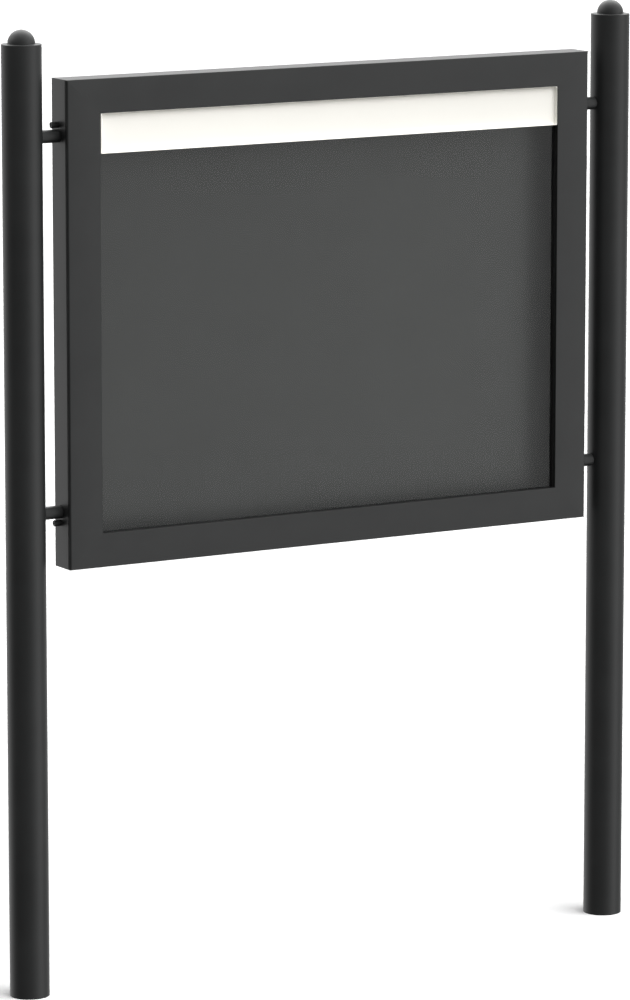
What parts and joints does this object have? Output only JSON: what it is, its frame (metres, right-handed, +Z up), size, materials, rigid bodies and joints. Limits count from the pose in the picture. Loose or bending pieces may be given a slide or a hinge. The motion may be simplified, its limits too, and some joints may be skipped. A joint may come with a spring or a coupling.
{
  "type": "lockable notice board",
  "caption": "Shallow glazed display case with a side-hung lockable door and a header panel, held between round domed posts.",
  "frame": {"origin": "on the ground, midway between the axes of the two posts", "axes": "+Z up; +X to the right for someone facing the door, from the left post to the right one; the door faces -Y"},
  "size_m": [1.376, 0.076, 1.845],
  "materials": {
    "post_paint": "near-black powder coat, semi-gloss",
    "case_paint": "near-black powder coat, semi-gloss",
    "bead_paint": "black paint, satin",
    "panel_paint": "near-black paint, semi-gloss",
    "white_paint": "white paint, satin",
    "back_sheet_zinc": "galvanised sheet",
    "zinc_plate": "bright zinc plate",
    "lock_black": "black, satin",
    "black_rubber": "matt black rubber",
    "foam_tape": "black foam tape",
    "clear_glass": "clear float glass"
  },
  "bodies": {
    "stand": {"post_left": "post_paint", "post_right": "post_paint", "post_cap_left": "post_paint", "post_cap_right": "post_paint", "spacer_lower_left": "post_paint", "spacer_upper_left": "post_paint", "spacer_lower_right": "post_paint", "spacer_upper_right": "post_paint", "spacer_bolt_lower_left": "zinc_plate", "spacer_bolt_upper_left": "zinc_plate", "spacer_bolt_lower_right": "zinc_plate", "spacer_bolt_upper_right": "zinc_plate", "case_side_left": "case_paint", "case_side_right": "case_paint", "case_top": "case_paint", "case_bottom": "case_paint", "case_corner_angle_lower_left": "zinc_plate", "case_corner_angle_lower_right": "zinc_plate", "case_corner_angle_upper_right": "zinc_plate", "case_corner_angle_upper_left": "zinc_plate", "back_sheet": "back_sheet_zinc", "display_panel": "panel_paint", "door_seal": "black_rubber", "lock_barrel_lower": "lock_black", "lock_barrel_upper": "lock_black", "lock_nut_lower": "zinc_plate", "lock_nut_upper": "zinc_plate", "hinge_case_leaf_lower": "case_paint", "hinge_case_leaf_upper": "case_paint", "hinge_pin_lower": "zinc_plate", "hinge_pin_upper": "zinc_plate"},
    "door": {"door_stile_lock": "case_paint", "door_stile_hinge": "case_paint", "door_rail_top": "case_paint", "door_rail_bottom": "case_paint", "door_corner_key_lower_left": "zinc_plate", "door_corner_key_lower_right": "zinc_plate", "door_corner_key_upper_right": "zinc_plate", "door_corner_key_upper_left": "zinc_plate", "glass_pane": "clear_glass", "glazing_gasket": "black_rubber", "glazing_bead_left": "bead_paint", "glazing_bead_right": "bead_paint", "glazing_bead_bottom": "bead_paint", "glazing_bead_top": "bead_paint", "header_panel": "white_paint", "header_tape_lower": "foam_tape", "header_tape_upper": "foam_tape", "hinge_door_leaf_lower": "case_paint", "hinge_door_leaf_upper": "case_paint", "door_keeper_lower": "zinc_plate", "door_keeper_upper": "zinc_plate"},
    "lower_lock_rotor": {"lock_core_lower": "lock_black", "lock_cam_lower": "zinc_plate", "lock_cam_screw_lower": "zinc_plate"},
    "upper_lock_rotor": {"lock_core_upper": "lock_black", "lock_cam_upper": "zinc_plate", "lock_cam_screw_upper": "zinc_plate"}
  },
  "joints": [
    {"name": "door_swing", "type": "hinge", "parent": "stand", "child": "door", "pos_m": [0.581, -0.018, 1.28675], "axis": [0, 0, 1], "range_deg": [0, 120]},
    {"name": "lower_lock_turn", "type": "hinge", "parent": "stand", "child": "lower_lock_rotor", "pos_m": [-0.576, 0, 0.9095], "axis": [1, 0, 0], "range_deg": [0, 90]},
    {"name": "upper_lock_turn", "type": "hinge", "parent": "stand", "child": "upper_lock_rotor", "pos_m": [-0.576, 0, 1.664], "axis": [-1, 0, 0], "range_deg": [0, 90]}
  ]
}
